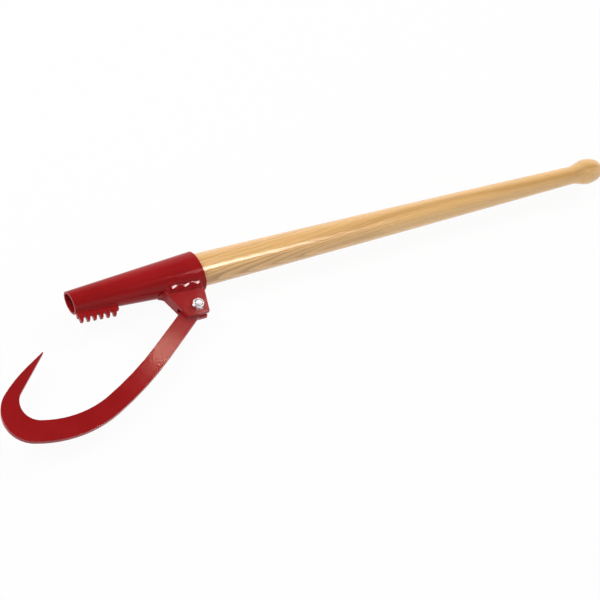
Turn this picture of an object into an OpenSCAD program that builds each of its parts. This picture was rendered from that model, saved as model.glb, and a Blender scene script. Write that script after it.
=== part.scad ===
// Cant hook: a wooden lever with a steel socket, a toothed toe and a swinging hook.
// The tool lies on its side. X runs along the handle from the toe of the socket to the knob,
// the hook hangs towards -Y, and Z is the pivot's axis. The origin is the middle of the toe.

/* [Socket] */
// Length of the socket along its axis
socket_len = 198; // [160:1:260]
// Outside diameter at the toe
toe_d = 36; // [30:0.5:46]
// Gap round the handle at the mouth, on the radius
mouth_gap = 2.1; // [0.8:0.1:4]
// Thickness of the rolled sheet
socket_wall = 3.2; // [2:0.1:5]
// Slant of the toe, which leaves the underside further back
toe_rake = 8.5; // [0:0.5:15]
// Slant of the mouth
mouth_rake = 8; // [0:0.5:15]

/* [Handle] */
// Length of the whole tool, from the toe to the end of the knob
tool_len = 914; // [760:1:1220]
// Diameter of the handle where it leaves the socket
handle_d = 51.4; // [44:0.2:60]
// Diameter of the neck before the knob
neck_d = 28.8; // [24:0.2:36]
// How far the taper swells out from a straight line, on the radius
taper_swell = 0.9; // [0:0.1:3]
// Largest diameter of the knob
knob_d = 41; // [36:0.5:56]
// Length of the knob, from the neck to the end
knob_len = 56; // [44:1:80]
// Diameter of the small flat on the end of the knob
butt_flat_d = 14; // [8:0.5:20]
// Where the wood ends inside the socket
tenon_start = 52; // [30:1:90]
// Where the tenon stops bearing on the socket and runs free to the mouth
tenon_bearing_end = 120; // [100:1:150]
// Clearance of the tenon in the socket where it bears
tenon_fit = 0.2; // [0.1:0.05:0.5]

/* [Toe rack] */
// Thickness of the toothed bar
rack_t = 8; // [5:0.5:12]
// Front end of the bar
rack_start = 3.5; // [3:0.5:8]
// Rear end of the bar
rack_end = 66; // [60:1:90]
// Solid depth of the bar under the socket
rack_base = 7.6; // [5:0.2:10]
// Height of the teeth
tooth_h = 7.6; // [5:0.2:11]
// Spacing of the teeth
tooth_pitch = 9.9; // [8:0.1:13]
// Tip of the first full tooth
first_tip = 8.6; // [7:0.1:10]
// Width of a tooth at its root
tooth_root_w = 7.2; // [5:0.2:7.6]
// Width of a tooth at its tip
tooth_tip_w = 4.2; // [1:0.2:5]
// How far the tip leans towards the toe
tooth_lean = 0.6; // [0:0.2:4]
// Number of full teeth
tooth_count = 6; // [4:1:6]

/* [Pivot] */
// Distance of the pivot in front of the mouth
pivot_back = 21.5; // [20:0.1:30]
// Distance of the pivot from the handle's axis
pivot_drop = 58.6; // [56:0.1:62]
// Diameter of the pivot bolt
bolt_d = 10; // [8:0.5:12]
// Width of the bolt head and the nut across their flats
hex_af = 16; // [15:0.5:19]
// Height of the bolt head
bolt_head_h = 6.4; // [5:0.2:9]
// Height of the nut's hexagon
nut_hex_h = 4.4; // [3.6:0.2:9]
// Height of the nut's collar, which holds the insert
nut_collar_h = 2.6; // [2:0.2:5]
// Wall of the collar
nut_collar_wall = 0.9; // [0.6:0.1:1.2]
// Thickness of the lip that is rolled in over the insert
nut_lip = 0.5; // [0.3:0.1:0.8]
// How far the bolt stands out of the nut
bolt_stand_out = 1; // [0.5:0.5:5]
// Chamfer on the end of the bolt
bolt_chamfer = 1; // [0.5:0.1:1.5]
// Clearance of the hook on the bolt, on the radius
pivot_play = 0.08; // [0.03:0.01:0.1]
// Clearance of the bolt in the ears, on the radius
ear_hole_play = 0.25; // [0.1:0.05:0.5]
// Clearance between the nut's thread and the bolt, on the radius
thread_play = 0.05; // [0.03:0.01:0.1]

/* [Clevis] */
// Thickness of the two ears
ear_t = 7.5; // [4:0.5:9]
// Thickness of the front web between them
web_t = 4; // [3:0.2:5]
// Gap on each side of the hook between the ears
hook_gap = 0.35; // [0.3:0.05:1]
// Rounding of the corners between the web and the ears
corner_r = 2; // [1:0.2:3]
// Distance of the web in front of the pivot, at the underside of the socket
web_ahead = 40.1; // [38:0.1:44]
// Slope of the web, from square to the axis
web_slope = 24.5; // [15:0.5:26]
// Distance of the web's lower end from the axis
web_drop = 53.5; // [46:0.5:54]
// Distance of the ears' lower edge from the axis
ear_drop = 72.2; // [71:0.1:78]
// Distance of the ears' rear end behind the pivot, at the socket
ear_behind_top = 19.6; // [17:0.1:20.5]
// Distance of the ears' rear end behind the pivot, at their lower edge
ear_behind_low = 13.6; // [12:0.1:19]
// Gap at the root of the welds
weld_root = 0.15; // [0.1:0.05:0.4]

/* [Hook] */
// Thickness of the hook's bar
hook_t = 9.6; // [6:0.2:12]
// Width of the bar at the pivot
hook_w = 26.4; // [24:0.2:28]
// How far the pivot hole is from the middle of the bar, towards its back
hole_offset = 2.1; // [0:0.1:4]
// Width of the bar where the sweep ends
sweep_w = 28.2; // [25:0.2:32]
// Width of the bar where the inside of the heel begins
belly_w = 31.9; // [28:0.2:36]
// Inside radius of the heel
heel_in_r = 29; // [24:0.5:34]
// How far before the belly's end the inside of the heel begins
heel_lead = 12; // [6:1:24]
// Width of the point's blunt end
point_w = 1.6; // [0.8:0.2:4]
// Angle of the shank below the axis
shank_angle = 37.5; // [32:0.5:42]
// Straight back edge from the pivot
shank_len = 89; // [75:1:115]
// Radius of the long sweep after the shank
sweep_r = 553; // [400:1:700]
// Turn of the sweep
sweep_turn = 12.2; // [8:0.1:16]
// Radius of the belly
belly_r = 175; // [140:1:210]
// Turn of the belly
belly_turn = 43; // [36:0.5:50]
// Radius of the heel
heel_r = 47.2; // [42:0.2:56]
// Turn of the heel
heel_turn = 119.5; // [105:0.5:125]
// Radius of the neck before the point
neck_r = 230; // [160:1:300]
// Turn of the neck
neck_turn = 13; // [8:0.5:18]
// Straight length of the point
point_len = 33; // [24:1:48]

/* [Welds] */
// Radius of the beads along the ears and the web
ear_bead_r = 3.2; // [2:0.1:4.5]
// Radius of the beads along the rack
rack_bead_r = 2.2; // [1.5:0.1:3]

/* [Handle screw] */
// Distance of the screw behind the toe
screw_x = 125; // [110:1:145]
// Diameter of the screw's shank
screw_d = 4.8; // [3:0.2:6]
// Length of the screw below its head
screw_len = 22; // [16:1:30]
// Diameter of the screw's pan head
screw_head_d = 9.4; // [7:0.2:12]
// Height of the screw's head
screw_head_h = 3.2; // [2:0.2:5]
// Clearance of the screw in the socket, on the radius
screw_play = 0.2; // [0.1:0.05:0.4]

/* [Hidden] */
$fn = 64;
red = "#a32024";
weld_red = "#8f1a1c";
zinc = "#c9ccd0";
ash = "#d9ab6c";
nylon = "#e8e8e2";

// Far enough past a face for a clean cut
past = 20;
// Faces per round stretch of an outline
arc_steps = 10;
// Largest turn of one face on the hook's edges
facet_angle = 4;
// Faces along the handle's taper
taper_steps = 14;

// The socket's cone, whose mouth is wide enough for the handle
mouth_d = handle_d + 2 * (mouth_gap + socket_wall);
cone_slope = (mouth_d - toe_d) / 2 / socket_len;
cone_angle = atan(cone_slope);
function outer_r(x) = toe_d / 2 + cone_slope * x;
function inner_r(x) = outer_r(x) - socket_wall / cos(cone_angle);

// The clevis and the pivot keep their place at the mouth
pivot_x = socket_len - pivot_back;
web_x = pivot_x - web_ahead;
ear_rear_top = pivot_x + ear_behind_top;
ear_rear_low = pivot_x + ear_behind_low;
clevis_gap = hook_t + 2 * hook_gap;
clevis_w = clevis_gap + 2 * ear_t;
bolt_r = bolt_d / 2;
nut_h = nut_hex_h + nut_collar_h;
nut_base_z = clevis_w / 2;
collar_inset = 0.6;
collar_r = hex_af / 2 - collar_inset;
collar_bore_r = collar_r - nut_collar_wall;
bolt_end_z = nut_base_z + nut_h + bolt_stand_out;
web_top = outer_r(web_x);
function web_front(drop) = web_x + (drop - web_top) * tan(web_slope);

// A round stretch of an outline about a centre
function arc(centre, r, from, to) =
    [for (i = [0 : arc_steps]) let (a = from + (to - from) * i / arc_steps)
        centre + r * [cos(a), sin(a)]];

// Points on a revolved profile become a solid of revolution along X
module turned() {
    rotate([0, 90, 0]) rotate_extrude() children();
}

// Handle: a tenon that bears deep in the socket, a swelling taper and a knob
mouth_x = socket_len;
neck_x = tool_len - knob_len;
handle_r = handle_d / 2;
neck_r2 = neck_d / 2;
knob_r = knob_d / 2;
// Share of the knob behind its widest point
knob_end_share = 0.46;
knob_mid_x = tool_len - knob_len * knob_end_share;
tenon_chamfer = 3;
function taper_r(x) =
    let (u = (x - mouth_x) / (neck_x - mouth_x))
        handle_r + (neck_r2 - handle_r) * u + 4 * taper_swell * u * (1 - u);
function knob_front_r(x) =
    let (u = (x - neck_x) / (knob_mid_x - neck_x))
        neck_r2 + (knob_r - neck_r2) * (1 - cos(180 * u)) / 2;
function knob_end_r(x) =
    let (u = (x - knob_mid_x) / (tool_len - knob_mid_x), flat_r = butt_flat_d / 2)
        flat_r + (knob_r - flat_r) * sqrt(max(0, 1 - u * u));
tenon_profile = [
    [0, tenon_start],
    [inner_r(tenon_start) - tenon_fit - tenon_chamfer, tenon_start],
    [inner_r(tenon_start + tenon_chamfer) - tenon_fit, tenon_start + tenon_chamfer],
    [inner_r(tenon_bearing_end) - tenon_fit, tenon_bearing_end]
];
taper_profile = [for (i = [0 : taper_steps - 1])
    let (x = mouth_x + (neck_x - mouth_x) * i / taper_steps) [taper_r(x), x]];
knob_profile = concat(
    [for (i = [0 : arc_steps]) let (x = neck_x + (knob_mid_x - neck_x) * i / arc_steps)
        [knob_front_r(x), x]],
    [for (i = [1 : arc_steps]) let (u = sin(90 * i / arc_steps), x = knob_mid_x + (tool_len - knob_mid_x) * u)
        [knob_end_r(x), x]],
    [[0, tool_len]]);

module handle() {
    color(ash) difference() {
        turned() polygon(concat(tenon_profile, taper_profile, knob_profile));
        on_socket_side(screw_x)
            translate([0, 0, -screw_len - thread_play])
                cylinder(d = screw_d + 2 * thread_play, h = screw_len + past);
    }
}

// The frame of the hidden side of the socket: Z points out of the cone, on its surface
module on_socket_side(x) {
    translate([x, 0, -outer_r(x)]) rotate([0, cone_angle, 0]) mirror([0, 0, 1]) children();
}

// Solid cone of the socket, with a gap added all round
module cone_solid(gap) {
    translate([-past, 0, 0]) rotate([0, 90, 0])
        cylinder(r1 = outer_r(-past) + gap, r2 = outer_r(socket_len + past) + gap,
                 h = socket_len + 2 * past);
}

// Socket: a rolled cone whose ends are cut straight across the blank, so both are slanted
module socket() {
    reach = mouth_d;
    toe_shift = reach * tan(toe_rake);
    mouth_shift = reach * tan(mouth_rake);
    color(red) difference() {
        intersection() {
            cone_solid(0);
            translate([0, 0, -reach]) linear_extrude(2 * reach) polygon([
                [-toe_shift, reach], [socket_len - mouth_shift, reach],
                [socket_len + mouth_shift, -reach], [toe_shift, -reach]
            ]);
        }
        translate([-2 * past, 0, 0]) rotate([0, 90, 0])
            cylinder(r1 = inner_r(-2 * past), r2 = inner_r(socket_len + 2 * past),
                     h = socket_len + 4 * past);
        on_socket_side(screw_x)
            translate([0, 0, -past]) cylinder(r = screw_d / 2 + screw_play, h = 2 * past);
    }
}

// Toe rack: a bar that follows the socket's underside, with teeth that lean to the toe
function tooth(tip) = [
    [tip + tooth_lean - tooth_root_w / 2, -rack_base],
    [tip - tooth_tip_w / 2, -rack_base - tooth_h],
    [tip + tooth_tip_w / 2, -rack_base - tooth_h],
    [tip + tooth_lean + tooth_root_w / 2, -rack_base]
];
rack_outline = concat(
    [[rack_start - past, past], [rack_start - past, -rack_base]],
    [for (i = [-1 : tooth_count - 1]) each tooth(first_tip + i * tooth_pitch)],
    [[rack_end, -rack_base], [rack_end, past]]);

module toe_rack() {
    color(red) difference() {
        translate([0, -toe_d / 2, -rack_t / 2]) rotate([0, 0, -cone_angle])
            linear_extrude(rack_t) intersection() {
                polygon(rack_outline);
                translate([rack_start, -rack_base - tooth_h - past])
                    square([rack_end, rack_base + tooth_h + 2 * past]);
            }
        cone_solid(weld_root);
    }
}

// Clevis: two ears and a front web welded to a U, coped to the socket, its web shorter than its ears
ear_reach = ear_rear_top - web_front(0) + past;
notch_relief = 0.3;
u_outline = concat(
    [[ear_reach, -clevis_w / 2]],
    arc([corner_r, corner_r - clevis_w / 2], corner_r, 270, 180),
    arc([corner_r, clevis_w / 2 - corner_r], corner_r, 180, 90),
    [[ear_reach, clevis_w / 2], [ear_reach, clevis_gap / 2], [web_t, clevis_gap / 2],
     [web_t, -clevis_gap / 2], [ear_reach, -clevis_gap / 2]]);
ear_outline = [
    [web_front(0), 0], [web_front(ear_drop), -ear_drop], [ear_rear_low, -ear_drop],
    [ear_rear_top, -outer_r(ear_rear_top)], [ear_rear_top, 0]
];

module clevis() {
    plate_top = web_top + past;
    color(red) difference() {
        intersection() {
            translate([web_front(0), 0, 0]) rotate([0, 0, web_slope]) rotate([90, 0, 0])
                translate([0, 0, -plate_top]) linear_extrude(ear_drop + 2 * plate_top)
                    polygon(u_outline);
            translate([0, 0, -clevis_w]) linear_extrude(2 * clevis_w) polygon(ear_outline);
        }
        translate([web_x, -ear_drop - past, -clevis_gap / 2 - notch_relief])
            cube([web_front(ear_drop) - web_x + web_t / cos(web_slope) + notch_relief,
                  ear_drop - web_drop + past, clevis_gap + 2 * notch_relief]);
        cone_solid(weld_root);
        translate([pivot_x, -pivot_drop, -clevis_w])
            cylinder(r = bolt_r + ear_hole_play, h = 2 * clevis_w);
    }
}

// Hook: its back edge is a straight shank and four tangent arcs
function right_of(a) = [sin(a), -cos(a)];
function ahead(a) = [cos(a), sin(a)];
hook_arcs = [[sweep_r, sweep_turn], [belly_r, belly_turn], [heel_r, heel_turn], [neck_r, neck_turn]];
start_angle = 180 + shank_angle;
pivot = [pivot_x, -pivot_drop];
shank_start = pivot - right_of(start_angle) * (hook_w / 2 - hole_offset);
// Each state is a point on the back edge, its direction and its distance from the pivot
function on_arc(state, bend, share) =
    let (turn = bend[1] * share, a = state[1], b = a - turn)
        [state[0] + bend[0] * (right_of(a) - right_of(b)), b, state[2] + bend[0] * turn * PI / 180];
function steps(turn) = max(2, ceil(turn / facet_angle));
function back_edge(state, i = 0) = i == len(hook_arcs) ? [] :
    let (n = steps(hook_arcs[i][1]),
         stretch = [for (k = [1 : n]) on_arc(state, hook_arcs[i], k / n)])
        concat(stretch, back_edge(stretch[n - 1], i + 1));
shank_end = [shank_start + ahead(start_angle) * shank_len, start_angle, shank_len];
back = concat([[shank_start, start_angle, 0], shank_end], back_edge(shank_end));
last = back[len(back) - 1];
point_end = [last[0] + ahead(last[1]) * point_len, last[1], last[2] + point_len];
function arc_length(i) = hook_arcs[i][0] * hook_arcs[i][1] * PI / 180;
// The inside edge follows the back to the heel, turns on its own radius and runs straight to the tip
sweep_end = on_arc(shank_end, hook_arcs[0], 1);
inside_turn_in = on_arc(sweep_end, hook_arcs[1], 1 - heel_lead / arc_length(1));
bar_widths = [[0, hook_w], [sweep_end[2], sweep_w], [inside_turn_in[2], belly_w]];
function inside(state) = state[0] + right_of(state[1]) * lookup(state[2], bar_widths);
heel_centre = inside(inside_turn_in) + right_of(inside_turn_in[1]) * heel_in_r;
tip_in = point_end[0] + right_of(point_end[1]) * point_w;
to_tip = tip_in - heel_centre;
inside_turn_out = atan2(to_tip[1], to_tip[0]) - asin(heel_in_r / norm(to_tip));
inside_turn = inside_turn_in[1] - inside_turn_out;
inside_steps = steps(inside_turn);
inside_edge = concat(
    [for (s = back) if (s[2] > 0 && s[2] < inside_turn_in[2]) inside(s)],
    [for (k = [0 : inside_steps])
        heel_centre - heel_in_r * right_of(inside_turn_in[1] - inside_turn * k / inside_steps)],
    [tip_in]);
eye_centre = pivot + right_of(start_angle) * hole_offset;
eye_end = arc(eye_centre, hook_w / 2, start_angle - 90, start_angle - 270);
hook_outline = concat(
    [for (s = back) s[0]],
    [point_end[0]],
    [for (i = [len(inside_edge) - 1 : -1 : 0]) inside_edge[i]],
    eye_end);

module hook() {
    color(red) difference() {
        translate([0, 0, -hook_t / 2]) linear_extrude(hook_t) polygon(hook_outline);
        translate([pivot_x, -pivot_drop, -hook_t])
            cylinder(r = bolt_r + pivot_play, h = 2 * hook_t);
    }
}

// Hexagon with its corners turned off on one side, at 30 degrees to its face
face_inset = 0.2;
module hexagon(h) {
    corner_r = hex_af / 2 / cos(30);
    face_r = hex_af / 2 - face_inset;
    intersection() {
        cylinder(r = corner_r, h = h, $fn = 6);
        translate([0, 0, -corner_r])
            cylinder(r1 = face_r + (h + corner_r) / tan(30), r2 = face_r, h = h + corner_r);
    }
}

// Pivot bolt: head under the far ear, end through the nut
module pivot_bolt() {
    color(zinc) translate([pivot_x, -pivot_drop, 0]) {
        translate([0, 0, -clevis_w / 2]) mirror([0, 0, 1]) hexagon(bolt_head_h);
        translate([0, 0, -clevis_w / 2 - bolt_head_h / 2])
            cylinder(r = bolt_r, h = clevis_w / 2 + bolt_head_h / 2 + bolt_end_z - bolt_chamfer);
        translate([0, 0, bolt_end_z - bolt_chamfer])
            cylinder(r1 = bolt_r, r2 = bolt_r - bolt_chamfer, h = bolt_chamfer);
    }
}

// Lock nut: hexagon with a collar whose lip holds the insert
module lock_nut() {
    bore_r = bolt_r + thread_play;
    color(zinc) translate([pivot_x, -pivot_drop, nut_base_z]) difference() {
        union() {
            hexagon(nut_hex_h);
            cylinder(r = collar_r, h = nut_h);
        }
        translate([0, 0, -past]) cylinder(r = bore_r, h = nut_h + 2 * past);
        translate([0, 0, nut_hex_h]) cylinder(r = collar_bore_r, h = nut_collar_h - nut_lip);
        translate([0, 0, nut_hex_h]) cylinder(r = collar_bore_r - nut_lip, h = nut_collar_h + past);
    }
}

// Nylon ring inside the lock nut
module nut_insert() {
    color(nylon) translate([pivot_x, -pivot_drop, nut_base_z + nut_hex_h + thread_play]) difference() {
        cylinder(r = collar_bore_r - thread_play, h = nut_collar_h - nut_lip - 2 * thread_play);
        translate([0, 0, -past]) cylinder(r = bolt_r + thread_play, h = 2 * past + nut_collar_h);
    }
}

// A weld bead, round in section, whose ripples follow one another from one point to another
ripple_step = 1.1;
ripple_dip = 0.12;
cap_steps = 4;
module bead(from, to, r) {
    run = to - from;
    gap = norm(run);
    ripples = ceil(gap / (r * ripple_step));
    step = gap / ripples;
    trough_r = r * (1 - ripple_dip);
    cap = [for (i = [1 : cap_steps - 1]) let (a = 90 * i / cap_steps) trough_r * [sin(a), cos(a)]];
    profile = concat(
        [[0, -trough_r]],
        [for (p = cap) [p[0], -p[1]]],
        [[trough_r, 0]],
        [for (i = [1 : ripples]) each [[r, step * (i - 0.5)], [trough_r, step * i]]],
        [for (i = [cap_steps - 2 : -1 : 0]) [cap[i][0], gap + cap[i][1]]],
        [[0, gap + trough_r]]);
    translate(from) rotate([0, acos(run[2] / gap), atan2(run[1], run[0])])
        rotate_extrude() polygon(profile);
}

// The line where a face at height z meets the cone's underside
function seam(x, z) = [x, -sqrt(outer_r(x) * outer_r(x) - z * z), z];
ear_seam_front = web_front(web_top) + corner_r + ear_bead_r;
ear_seam_rear = ear_rear_top - ear_bead_r;
rack_seam_front = rack_start + 2 * rack_bead_r;
rack_seam_rear = rack_end - rack_bead_r;

module ear_weld(side) {
    color(weld_red) bead(seam(ear_seam_front, side * clevis_w / 2),
                         seam(ear_seam_rear, side * clevis_w / 2), ear_bead_r);
}

module ear_weld_near() { ear_weld(1); }
module ear_weld_far() { ear_weld(-1); }

module web_weld() {
    weld_x = web_front(web_top);
    half = clevis_w / 2 - ear_bead_r;
    weld_y = -outer_r(weld_x);
    color(weld_red) bead([weld_x, weld_y, -half], [weld_x, weld_y, half], ear_bead_r);
}

module rack_weld(side) {
    color(weld_red) bead(seam(rack_seam_front, side * rack_t / 2),
                         seam(rack_seam_rear, side * rack_t / 2), rack_bead_r);
}

module rack_weld_near() { rack_weld(1); }
module rack_weld_far() { rack_weld(-1); }

// Pan-head screw that keeps the handle in the socket, on the hidden side
crown_share = 0.75;
module handle_screw() {
    crown_r = screw_head_d * crown_share;
    color(zinc) on_socket_side(screw_x) {
        translate([0, 0, -screw_len]) cylinder(d = screw_d, h = screw_len + screw_head_h / 2);
        intersection() {
            cylinder(d = screw_head_d, h = screw_head_h);
            translate([0, 0, screw_head_h - crown_r]) sphere(r = crown_r);
        }
    }
}

handle();
socket();
toe_rack();
clevis();
hook();
pivot_bolt();
lock_nut();
nut_insert();
ear_weld_near();
ear_weld_far();
web_weld();
rack_weld_near();
rack_weld_far();
handle_screw();
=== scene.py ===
"""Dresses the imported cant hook: red powder-coated steel, zinc fasteners and a varnished ash handle."""

import logging
import math
import random
from dataclasses import dataclass, replace
from enum import Enum
from typing import Any, Optional, Sequence

import bpy
from mathutils import Matrix, Vector

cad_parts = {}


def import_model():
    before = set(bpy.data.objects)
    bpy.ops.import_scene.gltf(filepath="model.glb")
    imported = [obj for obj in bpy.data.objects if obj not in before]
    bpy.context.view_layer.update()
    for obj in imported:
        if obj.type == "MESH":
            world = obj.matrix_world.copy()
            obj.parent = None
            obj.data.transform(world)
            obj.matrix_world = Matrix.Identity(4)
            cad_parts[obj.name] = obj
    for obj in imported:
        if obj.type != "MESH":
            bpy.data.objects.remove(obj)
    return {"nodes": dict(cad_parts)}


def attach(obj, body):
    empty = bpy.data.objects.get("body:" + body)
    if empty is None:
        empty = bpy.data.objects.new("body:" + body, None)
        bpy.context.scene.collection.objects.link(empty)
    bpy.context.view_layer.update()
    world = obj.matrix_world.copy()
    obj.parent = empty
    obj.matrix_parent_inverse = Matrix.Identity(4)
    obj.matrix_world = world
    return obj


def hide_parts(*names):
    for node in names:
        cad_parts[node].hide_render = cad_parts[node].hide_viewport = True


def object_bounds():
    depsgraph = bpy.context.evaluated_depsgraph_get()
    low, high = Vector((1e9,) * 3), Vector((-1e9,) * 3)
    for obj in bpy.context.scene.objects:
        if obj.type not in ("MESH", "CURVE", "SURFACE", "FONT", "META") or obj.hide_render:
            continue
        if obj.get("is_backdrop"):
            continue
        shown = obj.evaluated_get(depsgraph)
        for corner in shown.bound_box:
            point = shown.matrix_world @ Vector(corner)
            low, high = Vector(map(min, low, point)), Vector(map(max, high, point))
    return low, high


LOG = logging.getLogger("cant_hook")
MM = 0.001
WHITE = "#ffffff"

Point = tuple[float, float, float]
Face = tuple[int, ...]
Span = tuple[float, float]


def linear(hex_colour: str) -> tuple[float, float, float, float]:
    """Turns an sRGB hex colour into linear RGBA.

    Args:
        hex_colour: Six hex digits with a leading hash.

    Returns:
        The linear colour with an alpha of 1.
    """
    channels = [int(hex_colour[i : i + 2], 16) / 255 for i in (1, 3, 5)]
    red, green, blue = [c / 12.92 if c <= 0.04045 else ((c + 0.055) / 1.055) ** 2.4 for c in channels]
    return red, green, blue, 1.0


def blend(first: str, second: str, share: float) -> str:
    """Mixes two sRGB hex colours.

    Args:
        first: The colour at a share of 0.
        second: The colour at a share of 1.
        share: How much of the second goes in.

    Returns:
        The mixed hex colour.
    """
    pairs = [(int(first[i : i + 2], 16), int(second[i : i + 2], 16)) for i in (1, 3, 5)]
    return "#" + "".join(f"{round(a + (b - a) * share):02x}" for a, b in pairs)


def add_node(
    tree: bpy.types.NodeTree,
    kind: str,
    settings: Optional[dict[str, Any]] = None,
    inputs: Optional[dict[Any, Any]] = None,
    stops: Sequence[tuple[float, str]] = (),
) -> bpy.types.Node:
    """Adds a node, sets it up and links its inputs.

    Args:
        tree: The node tree to add to.
        kind: The node's type name.
        settings: Attribute values of the node.
        inputs: Socket name or number to a value, or to the output socket to link.
        stops: Position and sRGB hex colour of each stop, on a node with a colour ramp.

    Returns:
        The new node.
    """
    node = tree.nodes.new(kind)
    for name, value in (settings or {}).items():
        setattr(node, name, value)
    for name, value in (inputs or {}).items():
        if isinstance(value, bpy.types.NodeSocket):
            tree.links.new(value, node.inputs[name])
        else:
            node.inputs[name].default_value = value
    if stops:
        elements = node.color_ramp.elements
        while len(elements) < len(stops):
            elements.new(0.5)
        for element, (position, colour) in zip(elements, stops):
            element.position = position
            element.color = linear(colour)
    return node


def new_material(name: str) -> tuple[bpy.types.Material, bpy.types.NodeTree, bpy.types.Node]:
    """Makes a node material that has only a Principled shader.

    Args:
        name: The material's name.

    Returns:
        The material, its tree and the shader node.
    """
    material = bpy.data.materials.new(name)
    material.use_nodes = True
    tree = material.node_tree
    tree.nodes.clear()
    shader = add_node(tree, "ShaderNodeBsdfPrincipled")
    add_node(tree, "ShaderNodeOutputMaterial", inputs={"Surface": shader.outputs["BSDF"]})
    return material, tree, shader


@dataclass(frozen=True)
class PowderCoat:
    """Polyester powder coat, sprayed on steel and baked.

    It gives a semi-gloss red with a fine orange peel, a little paler where it is thin on edges.
    """

    name: str = "powder_coat_red_baked"
    body: str = "#9f1c1f"
    deep: str = "#931819"
    thin: str = "#b5403f"
    ior: float = 1.5
    specular: float = 0.12
    roughness: float = 0.095
    # How much smoother and rougher some patches are
    smoother: float = 0.02
    rougher: float = 0.03
    patch_size: float = 60 * MM
    patch_detail: float = 3.0
    patch_roughness: float = 0.55
    # Noise between which a patch goes from deep to body colour, and from smooth to rough
    tone_span: Span = (0.3, 0.65)
    gloss_span: Span = (0.3, 0.7)
    # Pointiness between which an edge's cover thins, and how much of the thin colour then shows
    thin_span: Span = (0.53, 0.62)
    thin_share: float = 0.55
    # Orange peel cells are about 2 mm across; they are drawn at 3.6 mm so that they show
    peel_size: float = 3.6 * MM
    peel_depth: float = 0.09 * MM
    peel_detail: float = 1.0
    peel_strength: float = 0.6

    def build(self) -> bpy.types.Material:
        """Makes the material.

        Returns:
            The node material.
        """
        material, tree, shader = new_material(self.name)
        place = add_node(tree, "ShaderNodeTexCoord").outputs["Object"]
        patch = add_node(
            tree,
            "ShaderNodeTexNoise",
            inputs={
                "Vector": place,
                "Scale": 1 / self.patch_size,
                "Detail": self.patch_detail,
                "Roughness": self.patch_roughness,
            },
        ).outputs["Fac"]
        tone = add_node(
            tree,
            "ShaderNodeValToRGB",
            inputs={"Fac": patch},
            stops=list(zip(self.tone_span, (self.deep, self.body))),
        ).outputs["Color"]
        edge = add_node(tree, "ShaderNodeNewGeometry").outputs["Pointiness"]
        thin = add_node(
            tree,
            "ShaderNodeMapRange",
            inputs={
                "Value": edge,
                "From Min": self.thin_span[0],
                "From Max": self.thin_span[1],
                "To Min": 0.0,
                "To Max": self.thin_share,
            },
        ).outputs["Result"]
        colour = add_node(
            tree,
            "ShaderNodeMix",
            {"data_type": "RGBA"},
            {"Factor": thin, "A": tone, "B": linear(self.thin)},
        ).outputs["Result"]
        peel = add_node(
            tree,
            "ShaderNodeTexNoise",
            inputs={"Vector": place, "Scale": 1 / self.peel_size, "Detail": self.peel_detail},
        ).outputs["Fac"]
        bump = add_node(
            tree,
            "ShaderNodeBump",
            inputs={"Strength": self.peel_strength, "Distance": self.peel_depth, "Height": peel},
        ).outputs["Normal"]
        gloss = add_node(
            tree,
            "ShaderNodeMapRange",
            inputs={
                "Value": patch,
                "From Min": self.gloss_span[0],
                "From Max": self.gloss_span[1],
                "To Min": self.roughness - self.smoother,
                "To Max": self.roughness + self.rougher,
            },
        ).outputs["Result"]
        tree.links.new(colour, shader.inputs["Base Color"])
        tree.links.new(gloss, shader.inputs["Roughness"])
        tree.links.new(bump, shader.inputs["Normal"])
        shader.inputs["IOR"].default_value = self.ior
        shader.inputs["Specular IOR Level"].default_value = self.specular
        return material


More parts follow.
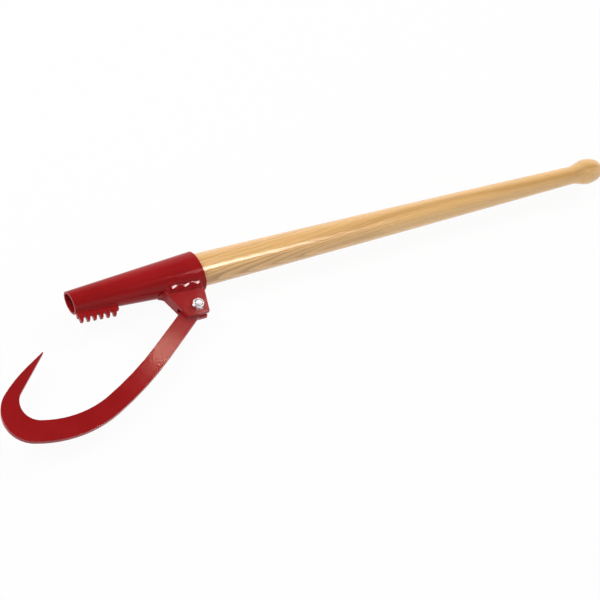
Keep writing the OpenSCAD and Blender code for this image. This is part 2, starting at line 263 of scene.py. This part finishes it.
@dataclass(frozen=True)
class VarnishedAsh:
    """Ash, turned and dipped in clear varnish.

    It gives long pale grain with darker late wood, cathedral bands where the taper cuts the rings,
    short open pores, and a bright wet stripe from the varnish.
    """

    name: str = "ash_turned_varnished"
    early: str = "#f0c07b"
    middle: str = "#e4b16d"
    late: str = "#ba894a"
    pore: str = "#8a5f30"
    roughness: float = 0.5
    varnish_roughness: float = 0.24
    varnish_ior: float = 1.5
    # Depth of each year's late wood in mm across the plank, and how dark that year came out.
    # Good years are wide and pale, and a run of poor years lies close and dark.
    years: tuple[Span, ...] = (
        (22.5, 1.0),
        (29.0, 0.25),
        (35.0, 0.3),
        (41.0, 0.8),
        (43.5, 0.7),
        (46.5, 0.95),
        (49.2, 1.0),
        (52.9, 0.75),
        (55.5, 0.65),
        (58.8, 0.6),
    )
    # The broad band that the years fade into towards the knob, as depth in mm and darkness
    band: tuple[Span, ...] = ((25.0, 0.25), (42.0, 0.1), (46.5, 0.5), (49.0, 0.45), (53.0, 0.0))
    # Stations between which the years fade, and how far they do
    fade_span: Span = (0.28, 0.6)
    fade_share: float = 0.8
    plank_from: float = -16 * MM
    plank_to: float = 72 * MM
    # Late wood darkens over its width, and ends sharply within a share of it
    late_width: float = 1.3 * MM
    late_end: float = 0.3
    across_plank: Point = (0.0, -0.92, 0.25)
    # The grain climbs along the first part of the handle and falls again towards the knob
    slope: float = 0.064
    fall: float = 0.03
    turns_at: float = 0.6
    turn_softness: float = 12 * MM
    # The years wander in waves of this size, drawn out along the handle
    wander: float = 14 * MM
    wander_size: float = 100 / 3 * MM
    wander_stretch: float = 0.12
    wander_detail: float = 2.0
    # Pores are about 0.3 mm wide; they are drawn at 1.1 mm so that they show
    fibre_width: float = 1.1 * MM
    fibre_stretch: float = 0.02
    fibre_detail: float = 4.0
    fibre_roughness: float = 0.7
    # Noise between which a pore opens, and how much of its colour then shows
    pore_span: Span = (0.52, 0.74)
    pore_share: float = 0.35
    pore_depth: float = 0.1 * MM
    pore_strength: float = 0.25

    def plank_share(self, depth: float) -> float:
        """Turns a depth in mm into a share of the plank."""
        return (depth * MM - self.plank_from) / (self.plank_to - self.plank_from)

    def year_stops(self) -> list[tuple[float, str]]:
        """Lists the colours across the plank: each year darkens slowly and ends sharply.

        Returns:
            Position and colour of each stop.
        """
        width = self.late_width / (self.plank_to - self.plank_from)
        stops = []
        for depth, dark in self.years:
            line = self.plank_share(depth)
            stops.append((line - width, self.middle))
            stops.append((line, blend(self.middle, self.late, dark)))
            stops.append((line + self.late_end * width, self.early))
        return stops

    def band_stops(self) -> list[tuple[float, str]]:
        """Lists the colours of the broad band across the plank."""
        return [(self.plank_share(depth), blend(self.early, self.late, dark)) for depth, dark in self.band]

    def grain(
        self, tree: bpy.types.NodeTree, place: bpy.types.NodeSocket, station: bpy.types.NodeSocket
    ) -> bpy.types.NodeSocket:
        """Finds how deep in the plank each point lies.

        Args:
            tree: The node tree to add to.
            place: The point.
            station: Its place along the handle.

        Returns:
            The share of the plank's thickness there.
        """
        slow = add_node(
            tree,
            "ShaderNodeMapping",
            inputs={"Vector": place, "Scale": (self.wander_stretch, 1.0, 1.0)},
        ).outputs["Vector"]
        wander = add_node(
            tree,
            "ShaderNodeTexNoise",
            inputs={"Vector": slow, "Scale": 1 / self.wander_size, "Detail": self.wander_detail},
        ).outputs["Fac"]
        across = add_node(
            tree, "ShaderNodeVectorMath", {"operation": "DOT_PRODUCT"}, {0: place, 1: self.across_plank}
        ).outputs["Value"]
        climb = add_node(
            tree, "ShaderNodeMath", {"operation": "MULTIPLY"}, {0: station, 1: self.slope}
        ).outputs["Value"]
        descent = add_node(
            tree,
            "ShaderNodeMath",
            {"operation": "MULTIPLY_ADD"},
            {0: station, 1: -self.fall, 2: (self.slope + self.fall) * self.turns_at},
        ).outputs["Value"]
        run = add_node(
            tree,
            "ShaderNodeMath",
            {"operation": "SMOOTH_MIN"},
            {0: climb, 1: descent, 2: self.turn_softness},
        ).outputs["Value"]
        straight = add_node(
            tree, "ShaderNodeMath", {"operation": "ADD"}, {0: run, 1: across}
        ).outputs["Value"]
        bent = add_node(
            tree, "ShaderNodeMath", {"operation": "MULTIPLY_ADD"}, {0: wander, 1: self.wander, 2: straight}
        ).outputs["Value"]
        return add_node(
            tree,
            "ShaderNodeMapRange",
            inputs={"Value": bent, "From Min": self.plank_from, "From Max": self.plank_to},
        ).outputs["Result"]

    def build(self) -> bpy.types.Material:
        """Makes the material.

        Returns:
            The node material.
        """
        material, tree, shader = new_material(self.name)
        place = add_node(tree, "ShaderNodeTexCoord").outputs["Object"]
        station = add_node(tree, "ShaderNodeSeparateXYZ", inputs={"Vector": place}).outputs["X"]
        depth = {"Fac": self.grain(tree, place, station)}
        years = add_node(tree, "ShaderNodeValToRGB", inputs=depth, stops=self.year_stops()).outputs["Color"]
        band = add_node(tree, "ShaderNodeValToRGB", inputs=depth, stops=self.band_stops()).outputs["Color"]
        fade = add_node(
            tree,
            "ShaderNodeMapRange",
            {"interpolation_type": "SMOOTHSTEP"},
            {
                "Value": station,
                "From Min": self.fade_span[0],
                "From Max": self.fade_span[1],
                "To Min": 0.0,
                "To Max": self.fade_share,
            },
        ).outputs["Result"]
        tone = add_node(
            tree,
            "ShaderNodeMix",
            {"data_type": "RGBA"},
            {"Factor": fade, "A": years, "B": band},
        ).outputs["Result"]
        along = add_node(
            tree,
            "ShaderNodeMapping",
            inputs={"Vector": place, "Scale": (self.fibre_stretch, 1.0, 1.0)},
        ).outputs["Vector"]
        fibre = add_node(
            tree,
            "ShaderNodeTexNoise",
            inputs={
                "Vector": along,
                "Scale": 1 / self.fibre_width,
                "Detail": self.fibre_detail,
                "Roughness": self.fibre_roughness,
            },
        ).outputs["Fac"]
        pores = add_node(
            tree,
            "ShaderNodeMapRange",
            inputs={
                "Value": fibre,
                "From Min": self.pore_span[0],
                "From Max": self.pore_span[1],
                "To Min": 0.0,
                "To Max": self.pore_share,
            },
        ).outputs["Result"]
        colour = add_node(
            tree,
            "ShaderNodeMix",
            {"data_type": "RGBA"},
            {"Factor": pores, "A": tone, "B": linear(self.pore)},
        ).outputs["Result"]
        bump = add_node(
            tree,
            "ShaderNodeBump",
            {"invert": True},
            {"Strength": self.pore_strength, "Distance": self.pore_depth, "Height": fibre},
        ).outputs["Normal"]
        tree.links.new(colour, shader.inputs["Base Color"])
        tree.links.new(bump, shader.inputs["Normal"])
        shader.inputs["Roughness"].default_value = self.roughness
        shader.inputs["Coat Weight"].default_value = 1.0
        shader.inputs["Coat Roughness"].default_value = self.varnish_roughness
        shader.inputs["Coat IOR"].default_value = self.varnish_ior
        return material


@dataclass(frozen=True)
class ZincPlate:
    """Steel, zinc plated in a bath.

    It gives a bright, slightly cloudy grey metal.
    """

    name: str = "steel_zinc_plated"
    bright: str = "#eceef0"
    cloud: str = "#ccd0d4"
    roughness: float = 0.27
    # How much smoother and rougher some clouds are
    smoother: float = 0.06
    rougher: float = 0.1
    cloud_size: float = 4 * MM
    cloud_detail: float = 3.0
    # Noise between which the colour goes from cloud to bright
    tone_span: Span = (0.3, 0.65)

    def build(self) -> bpy.types.Material:
        """Makes the material.

        Returns:
            The node material.
        """
        material, tree, shader = new_material(self.name)
        place = add_node(tree, "ShaderNodeTexCoord").outputs["Object"]
        cloud = add_node(
            tree,
            "ShaderNodeTexNoise",
            inputs={"Vector": place, "Scale": 1 / self.cloud_size, "Detail": self.cloud_detail},
        ).outputs["Fac"]
        tone = add_node(
            tree,
            "ShaderNodeValToRGB",
            inputs={"Fac": cloud},
            stops=list(zip(self.tone_span, (self.cloud, self.bright))),
        ).outputs["Color"]
        gloss = add_node(
            tree,
            "ShaderNodeMapRange",
            inputs={
                "Value": cloud,
                "To Min": self.roughness - self.smoother,
                "To Max": self.roughness + self.rougher,
            },
        ).outputs["Result"]
        tree.links.new(tone, shader.inputs["Base Color"])
        tree.links.new(gloss, shader.inputs["Roughness"])
        shader.inputs["Metallic"].default_value = 1.0
        return material


@dataclass(frozen=True)
class Nylon:
    """Nylon, injection moulded.

    It gives a cloudy grey-green with a soft sheen. This is darker than natural nylon, so the colour is partly
    painted shade of the nut's recess round the bolt end.
    """

    name: str = "nylon_moulded"
    # Darker than natural nylon: both tones are partly painted shade of the recess round the bolt end
    body: str = "#56605b"
    shade: str = "#48524d"
    roughness: float = 0.45
    cloud_size: float = 3 * MM
    cloud_detail: float = 2.0
    # Noise between which the colour goes from shade to body
    tone_span: Span = (0.35, 0.65)
    # How much of the light goes into it, and how far
    glow_share: float = 0.2
    glow_depth: float = 2 * MM

    def build(self) -> bpy.types.Material:
        """Makes the material.

        Returns:
            The node material.
        """
        material, tree, shader = new_material(self.name)
        place = add_node(tree, "ShaderNodeTexCoord").outputs["Object"]
        cloud = add_node(
            tree,
            "ShaderNodeTexNoise",
            inputs={"Vector": place, "Scale": 1 / self.cloud_size, "Detail": self.cloud_detail},
        ).outputs["Fac"]
        tone = add_node(
            tree,
            "ShaderNodeValToRGB",
            inputs={"Fac": cloud},
            stops=list(zip(self.tone_span, (self.shade, self.body))),
        ).outputs["Color"]
        tree.links.new(tone, shader.inputs["Base Color"])
        shader.inputs["Roughness"].default_value = self.roughness
        shader.inputs["Subsurface Weight"].default_value = self.glow_share
        shader.inputs["Subsurface Radius"].default_value = (self.glow_depth,) * 3
        return material


@dataclass(frozen=True)
class Finishes:
    """One material for each finish on the tool."""

    coat: bpy.types.Material
    weld: bpy.types.Material
    ash: bpy.types.Material
    zinc: bpy.types.Material
    nylon: bpy.types.Material

    @classmethod
    def make(cls) -> "Finishes":
        """Builds every material of the tool once.

        Returns:
            The materials.
        """
        # The coat lies thicker on a weld, so it is a little darker and glossier there
        weld = PowderCoat(
            name="powder_coat_red_on_weld",
            body="#9b1b1e",
            deep="#8a1618",
            roughness=0.09,
            specular=0.25,
            patch_size=6 * MM,
        )
        return cls(
            coat=PowderCoat().build(),
            weld=weld.build(),
            ash=VarnishedAsh().build(),
            zinc=ZincPlate().build(),
            nylon=Nylon().build(),
        )


@dataclass
class Dresser:
    """Gives CAD nodes their finish and adds finer pieces over them."""

    nodes: dict[str, bpy.types.Object]
    # Points nearer than this are one, and faces turned less than this are one flat face
    join_within: float = 0.002 * MM
    flat_within: float = math.radians(0.3)
    # Edges sharper than this are broken
    edge_angle: float = math.radians(32)
    edge_segments: int = 3

    def finish_node(self, name: str, material: bpy.types.Material, edge: float, flat: bool = False) -> None:
        """Gives a CAD node its material and softly broken edges.

        Args:
            name: The node's name.
            material: The finish.
            edge: Width of the broken edge, in metres.
            flat: Whether its flat faces are joined first.
        """
        node = self.nodes[name]
        node.data.materials.clear()
        node.data.materials.append(material)
        join = node.modifiers.new("join", "WELD")
        join.merge_threshold = self.join_within
        if flat:
            plates = node.modifiers.new("whole_faces", "DECIMATE")
            plates.decimate_type = "DISSOLVE"
            plates.angle_limit = self.flat_within
        bevel = node.modifiers.new("broken_edge", "BEVEL")
        bevel.width = edge
        bevel.segments = self.edge_segments
        bevel.limit_method = "ANGLE"
        bevel.angle_limit = self.edge_angle
        bevel.use_clamp_overlap = True
        bevel.harden_normals = flat
        if not flat:
            normals = node.modifiers.new("even_shading", "WEIGHTED_NORMAL")
            normals.keep_sharp = True
        LOG.info("finished %s with %s", name, material.name)

    def add_piece(
        self,
        name: str,
        shape: tuple[Sequence[Point], Sequence[Face]],
        material: bpy.types.Material,
        body: str,
        stands_for: str,
    ) -> None:
        """Adds a smooth mesh piece that rides on a body in place of a CAD node.

        Args:
            name: The piece's name.
            shape: Its points, in metres, and its faces.
            material: The finish.
            body: The body that it rides on.
            stands_for: The CAD node that it replaces.
        """
        verts, faces = shape
        mesh = bpy.data.meshes.new(name)
        mesh.from_pydata(list(verts), [], list(faces))
        mesh.validate()
        mesh.shade_smooth()
        mesh.materials.append(material)
        piece = bpy.data.objects.new(name, mesh)
        bpy.context.scene.collection.objects.link(piece)
        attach(piece, body)
        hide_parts(stands_for)
        LOG.info("added %s", name)


def skin_rings(rings: Sequence[Sequence[Point]], start: Point, end: Point) -> tuple[list[Point], list[Face]]:
    """Skins rings of equal length into a closed mesh with a point at each end.

    Args:
        rings: The rings, in order, each with its points in the same turn.
        start: The point that closes the first ring.
        end: The point that closes the last ring.

    Returns:
        The points and the faces.
    """
    around = len(rings[0])
    verts = [point for ring in rings for point in ring] + [start, end]
    first, last = len(verts) - 2, len(verts) - 1
    faces: list[Face] = []
    for i in range(len(rings) - 1):
        for k in range(around):
            a = i * around + k
            b = i * around + (k + 1) % around
            faces.append((a, b, b + around, a + around))
    tail = (len(rings) - 1) * around
    for k in range(around):
        n = (k + 1) % around
        faces.append((first, n, k))
        faces.append((last, tail + k, tail + n))
    return verts, faces


@dataclass
class WeldBead:
    """One weld bead, laid as overlapping ripples in the corner between two faces."""

    name: str
    start: Vector
    end: Vector
    out: Vector
    # Half the width over the corner, and how steeply the faces rise to the bead's toes
    width: float
    face_rise: float
    # How full it is, where 1 is flat
    crown: float
    seed: int
    # Length of a ripple, and the share of the height that is lost between two of them
    ripple: float = 4 * MM
    dip: float = 0.19
    least_ripples: int = 3
    # Ripples differ in height, and drift to the sides by a share of the width
    least_height: float = 0.93
    most_drift: float = 0.05
    # A low lip runs along one toe: its height, its side, and its place and breadth over the width
    lip: float = 0.0
    lip_side: float = 1.0
    lip_place: float = 0.88
    lip_breadth: float = 0.09
    # The toes stop a little below the faces, the crown leaves them in a curve, and the root lies under it
    toe_share: float = 0.97
    toe_curve: float = 1.7
    root: float = 1.2 * MM
    around: int = 32
    rings_per_ripple: int = 9

    def section(self, across: Vector, out: Vector, scale: float, crest: float) -> list[Vector]:
        """Draws the bead's section: a crown whose toes lie on the two faces, over a shallow root.

        Args:
            across: Direction over the corner.
            out: Direction out of the corner.
            scale: Size of the section, from 0 to 1.
            crest: Height of the ripple there, from 0 to 1.

        Returns:
            Points about the corner.
        """
        toe = self.toe_share * self.width * self.face_rise
        points = []
        for k in range(self.around):
            a = 2 * math.pi * k / self.around
            side = abs(math.cos(a)) ** self.toe_curve
            middle = toe * self.crown * crest if math.sin(a) > 0 else -self.root
            up = toe * side + middle * (1 - side)
            if math.sin(a) > 0:
                from_lip = (math.cos(a) * self.lip_side - self.lip_place) / self.lip_breadth
                up += self.lip * math.exp(-(from_lip**2))
            points.append((across * (self.width * math.cos(a)) + out * up) * scale)
        return points

    def mesh(self) -> tuple[list[Point], list[Face]]:
        """Builds the bead.

        Returns:
            The points and the faces.
        """
        rng = random.Random(self.seed)
        run = self.end - self.start
        axis = run.normalized()
        out = (self.out - axis * self.out.dot(axis)).normalized()
        across = axis.cross(out)
        ripples = max(self.least_ripples, round(run.length / self.ripple))
        heights = [rng.uniform(self.least_height, 1.0) for _ in range(ripples)]
        drifts = [rng.uniform(-self.most_drift, self.most_drift) * self.width for _ in range(ripples)]
        rings = []
        count = ripples * self.rings_per_ripple
        for i in range(1, count):
            t = i / count
            k = min(ripples - 1, int(t * ripples))
            phase = t * ripples - k
            from_end = min(1.0, min(t, 1 - t) * run.length / self.width)
            cap = math.sqrt(1 - (1 - from_end) ** 2)
            crest = 1 - self.dip + self.dip * math.sin(math.pi * phase)
            middle = self.start + axis * (t * run.length) + across * drifts[k]
            ring = self.section(across, out, cap, crest * heights[k])
            rings.append([tuple(middle + point) for point in ring])
        return skin_rings(rings, tuple(self.start), tuple(self.end))


@dataclass
class Head:
    """The socket, its toothed rack, the clevis and the welds that hold them together."""

    body: str = "head_and_handle"
    weld_slot: str = "coated_weld"
    toe_r: float = 18 * MM
    mouth_r: float = 31 * MM
    length: float = 198 * MM
    socket_edge: float = 0.5 * MM
    rack_edge: float = 0.5 * MM
    clevis_edge: float = 0.6 * MM
    # The ears' welds are a few long passes, each with its own swell
    clevis_half: float = 12.65 * MM
    ear_span: Span = (139 * MM, 196 * MM)
    ear_bead: float = 6 * MM
    ear_crown: float = 1.3
    ear_pass: float = 19 * MM
    ear_lip: float = 0.15 * MM
    web_x: float = 136.4 * MM
    web_half: float = 11.5 * MM
    web_slope: float = math.radians(24.5)
    web_bead: float = 7.5 * MM
    web_crown: float = 0.75
    rack_half: float = 4 * MM
    rack_span: Span = (5.7 * MM, 66 * MM)
    rack_bead: float = 2.4 * MM
    rack_crown: float = 1.0
    # Seeds of the ripples; each side's rack takes the seed after its ear's
    near_seed: int = 3
    far_seed: int = 8
    web_seed: int = 5

    def seam(self, x: float, z: float) -> Vector:
        """Finds where a face at height z meets the socket's underside.

        Args:
            x: Station along the tool.
            z: Height of the face.

        Returns:
            The point on the socket.
        """
        r = self.toe_r + (self.mouth_r - self.toe_r) * x / self.length
        return Vector((x, -math.sqrt(r * r - z * z), z))

    def side_bead(
        self, name: str, z: float, stations: Span, width: float, crown: float, seed: int
    ) -> WeldBead:
        """Lays a bead along the corner between an upright face and the socket.

        Args:
            name: The bead's name.
            z: Height of the face.
            stations: Where it starts and ends along the tool.
            width: Its half width.
            crown: How full it is, where 1 is flat.
            seed: Seed of its ripples.

        Returns:
            The bead.
        """
        start, end = (self.seam(x, z) for x in stations)
        middle = (start + end) / 2
        socket_out = Vector((0, middle.y, middle.z)).normalized()
        face_out = Vector((0, 0, math.copysign(1, z)))
        return self.corner_bead(name, (start, end), (socket_out, face_out), width, crown, seed)

    @staticmethod
    def corner_bead(
        name: str,
        ends: tuple[Vector, Vector],
        normals: tuple[Vector, Vector],
        width: float,
        crown: float,
        seed: int,
    ) -> WeldBead:
        """Lays a bead in the corner between two faces.

        Args:
            name: The bead's name.
            ends: Where it starts and ends.
            normals: The two faces' outward directions.
            width: Its half width.
            crown: How full it is, where 1 is flat.
            seed: Seed of its ripples.

        Returns:
            The bead.
        """
        half_turn = normals[0].angle(normals[1]) / 2
        return WeldBead(name, *ends, normals[0] + normals[1], width, math.tan(half_turn), crown, seed)

    def beads(self) -> list[WeldBead]:
        """Lays the weld beads.

        Returns:
            The ear's and the rack's bead on the near and the far side, and the web's.
        """
        beads = []
        for side, word, seed in ((1, "near", self.near_seed), (-1, "far", self.far_seed)):
            ear_z = side * self.clevis_half
            rack_z = side * self.rack_half
            ear = self.side_bead(
                f"ear_weld_{word}", ear_z, self.ear_span, self.ear_bead, self.ear_crown, seed
            )
            rack = self.side_bead(
                f"rack_weld_{word}", rack_z, self.rack_span, self.rack_bead, self.rack_crown, seed + 1
            )
            beads.append(replace(ear, ripple=self.ear_pass, lip=self.ear_lip, lip_side=side))
            beads.append(rack)
        foot = self.seam(self.web_x, 0.0)
        half = Vector((0, 0, self.web_half))
        ends = (foot - half, foot + half)
        web_out = Vector((-math.cos(self.web_slope), -math.sin(self.web_slope), 0))
        socket_out = Vector((0, -1, 0))
        beads.append(
            self.corner_bead(
                "web_weld", ends, (web_out, socket_out), self.web_bead, self.web_crown, self.web_seed
            )
        )
        return beads

    def dress(self, dresser: Dresser, finishes: Finishes) -> None:
        """Finishes the head's plates and lays its welds.

        Args:
            dresser: What gives nodes their finish.
            finishes: The materials.
        """
        dresser.finish_node("socket", finishes.coat, self.socket_edge)
        dresser.finish_node("toe_rack", finishes.coat, self.rack_edge, flat=True)
        dresser.finish_node("clevis", finishes.coat, self.clevis_edge, flat=True)
        for bead in self.beads():
            # Only the ears' long passes are smooth enough to gleam
            finish = finishes.weld if bead.lip > 0 else finishes.coat
            dresser.add_piece(
                f"{bead.name}_rippled", bead.mesh(), finish, self.body, bead.name
            )


@dataclass
class Hook:
    """The flat forged hook."""

    edge: float = 0.7 * MM

    def dress(self, dresser: Dresser, finishes: Finishes) -> None:
        """Gives the hook its coat."""
        dresser.finish_node("hook", finishes.coat, self.edge, flat=True)


@dataclass
class Fasteners:
    """The pivot bolt, its lock nut with the nylon insert, and the handle's screw."""

    edge: float = 0.2 * MM
    insert_edge: float = 0.1 * MM

    def dress(self, dresser: Dresser, finishes: Finishes) -> None:
        """Finishes the fasteners.

        Args:
            dresser: What gives nodes their finish.
            finishes: The materials.
        """
        dresser.finish_node("pivot_bolt", finishes.zinc, self.edge, flat=True)
        dresser.finish_node("lock_nut", finishes.zinc, self.edge, flat=True)
        dresser.finish_node("nut_insert", finishes.nylon, self.insert_edge)
        dresser.finish_node("handle_screw", finishes.zinc, self.edge)


@dataclass
class Handle:
    """The turned handle."""

    edge: float = 0.8 * MM

    def dress(self, dresser: Dresser, finishes: Finishes) -> None:
        """Gives the handle its varnished wood."""
        dresser.finish_node("handle", finishes.ash, self.edge)


class Lights(Enum):
    """What a lamp lights: everything, or only the gloss or the matt share of a surface."""

    ALL = "all"
    GLOSS = "gloss"
    MATT = "matt"


@dataclass(frozen=True)
class Lamp:
    """One square soft box: where it stands and points, its width, watts, grid angle and colour."""

    name: str
    at: Point
    target: Point
    size: float
    power: float
    spread: float = 180.0
    colour: str = WHITE
    lights: Lights = Lights.ALL

    def place(self) -> None:
        """Puts the lamp in the scene."""
        light = bpy.data.lights.new(self.name, "AREA")
        light.size = self.size
        light.energy = self.power
        light.spread = math.radians(self.spread)
        light.color = linear(self.colour)[:3]
        lamp = bpy.data.objects.new(self.name, light)
        lamp.location = self.at
        aim = Vector(self.target) - Vector(self.at)
        lamp.rotation_euler = aim.to_track_quat("-Z", "Y").to_euler()
        lamp.visible_diffuse = self.lights is not Lights.GLOSS
        lamp.visible_glossy = self.lights is not Lights.MATT
        bpy.context.scene.collection.objects.link(lamp)


@dataclass
class Studio:
    """The floor, the lamps, the world and the camera."""

    floor_size: float = 14.0
    floor_colour: str = "#f4f4f4"
    floor_roughness: float = 0.9
    # How much of the floor's own shading shows through its white
    shadow_share: float = 0.05
    # The room is white up to the walls' height and dims to the ceiling's, as sines of the elevation
    wall_top: float = 0.3
    ceiling_from: float = 0.75
    ceiling_light: float = 0.05
    lamps: tuple[Lamp, ...] = (
        # Warm patch on the hook's flat, and the pale one on the ear's lower corner
        Lamp("key", (0.733, 0.657, 1.967), (0.1, -0.115, 0.0), 0.05, 1.0, colour="#ffcdb9"),
        Lamp("gleam", (0.928, 0.696, 1.967), (0.2, -0.08, 0.0), 0.05, 1.1),
        # Wet stripe along the varnish, and the glints on the ear's weld
        Lamp("stripe", (0.9, -0.81, 1.92), (0.2, -0.01, 0.0), 0.5, 1.1, 36.0, lights=Lights.GLOSS),
        Lamp("spark", (0.71, -1.05, 1.87), (0.17, -0.03, 0.0), 0.16, 0.06, 20.0, lights=Lights.GLOSS),
        # Broad light from the toe's side, and the one from the knob's side that casts the shadows
        Lamp("toe_fill", (-1.8, 1.3, 3.4), (0.2, -0.05, 0.0), 2.0, 84.0),
        Lamp("shade", (6.2, 3.1, 4.5), (0.2, -0.05, 0.0), 1.4, 290.0, lights=Lights.MATT),
    )
    lens: float = 102.0
    sensor: float = 36.0
    view_span: Span = (0.05, 60.0)
    camera_at: Point = (-0.5922, -0.9786, 2.1981)
    camera_right: Point = (0.8997, -0.3720, 0.2282)
    camera_up: Point = (0.2414, 0.8598, 0.4499)
    camera_back: Point = (-0.3636, -0.3497, 0.8634)

    def lay_floor(self, height: float) -> None:
        """Lays a white floor that keeps the shadow.

        Args:
            height: The floor's height.
        """
        half = self.floor_size / 2
        mesh = bpy.data.meshes.new("floor")
        corners = [(-half, -half, height), (half, -half, height), (half, half, height), (-half, half, height)]
        mesh.from_pydata(corners, [], [(0, 1, 2, 3)])
        floor = bpy.data.objects.new("floor", mesh)
        bpy.context.scene.collection.objects.link(floor)
        material, tree, shader = new_material("paper_white_matt")
        shader.inputs["Base Color"].default_value = linear(self.floor_colour)
        shader.inputs["Roughness"].default_value = self.floor_roughness
        glow = add_node(tree, "ShaderNodeEmission", inputs={"Color": linear(WHITE), "Strength": 1.0})
        share = add_node(
            tree,
            "ShaderNodeMath",
            {"operation": "MULTIPLY"},
            {0: self.direct_rays(tree), 1: 1 - self.shadow_share},
        ).outputs["Value"]
        mix = add_node(
            tree,
            "ShaderNodeMixShader",
            inputs={"Fac": share, 1: shader.outputs["BSDF"], 2: glow.outputs["Emission"]},
        )
        output = next(node for node in tree.nodes if node.type == "OUTPUT_MATERIAL")
        tree.links.new(mix.outputs["Shader"], output.inputs["Surface"])
        mesh.materials.append(material)
        floor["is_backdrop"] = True

    @staticmethod
    def direct_rays(tree: bpy.types.NodeTree) -> bpy.types.NodeSocket:
        """Adds up the camera, glossy and transmission rays.

        Args:
            tree: The node tree.

        Returns:
            A socket that is 1 for those rays.
        """
        path = add_node(tree, "ShaderNodeLightPath")
        both = add_node(
            tree,
            "ShaderNodeMath",
            {"operation": "MAXIMUM"},
            {0: path.outputs["Is Camera Ray"], 1: path.outputs["Is Glossy Ray"]},
        ).outputs["Value"]
        return add_node(
            tree,
            "ShaderNodeMath",
            {"operation": "MAXIMUM"},
            {0: both, 1: path.outputs["Is Transmission Ray"]},
        ).outputs["Value"]

    def light_world(self) -> None:
        """Makes a room that is white round the floor and dark overhead, so that paint keeps its depth."""
        world = bpy.data.worlds.new("studio")
        bpy.context.scene.world = world
        world.use_nodes = True
        tree = world.node_tree
        tree.nodes.clear()
        where = add_node(tree, "ShaderNodeTexCoord").outputs["Generated"]
        height = add_node(tree, "ShaderNodeSeparateXYZ", inputs={"Vector": where}).outputs["Z"]
        light = add_node(
            tree,
            "ShaderNodeMapRange",
            {"interpolation_type": "SMOOTHSTEP"},
            {
                "Value": height,
                "From Min": self.wall_top,
                "From Max": self.ceiling_from,
                "To Min": 1.0,
                "To Max": self.ceiling_light,
            },
        ).outputs["Result"]
        back = add_node(tree, "ShaderNodeBackground", inputs={"Color": linear(WHITE), "Strength": light})
        add_node(tree, "ShaderNodeOutputWorld", inputs={"Surface": back.outputs["Background"]})

    def place_camera(self) -> None:
        """Puts the camera at the photograph's viewpoint."""
        data = bpy.data.cameras.new("camera")
        data.lens = self.lens
        data.sensor_width = self.sensor
        data.clip_start, data.clip_end = self.view_span
        camera = bpy.data.objects.new("camera", data)
        axes = Matrix((self.camera_right, self.camera_up, self.camera_back)).transposed()
        camera.matrix_world = Matrix.Translation(self.camera_at) @ axes.to_4x4()
        bpy.context.scene.collection.objects.link(camera)
        bpy.context.scene.camera = camera

    def build(self, lowest: float) -> None:
        """Sets up the studio.

        Args:
            lowest: Height of the object's lowest point.
        """
        self.lay_floor(lowest)
        self.light_world()
        for lamp in self.lamps:
            lamp.place()
        self.place_camera()
        bpy.context.scene.view_settings.view_transform = "Standard"


def main() -> None:
    """Loads the frame, dresses each sub-assembly and lights it."""
    logging.basicConfig(level=logging.INFO, format="%(message)s")
    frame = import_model()
    cad_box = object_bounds()
    finishes = Finishes.make()
    dresser = Dresser(frame["nodes"])
    for part in (Head(), Hook(), Fasteners(), Handle()):
        part.dress(dresser, finishes)
    Studio().build(cad_box[0][2])


if __name__ == "__main__":
    main()
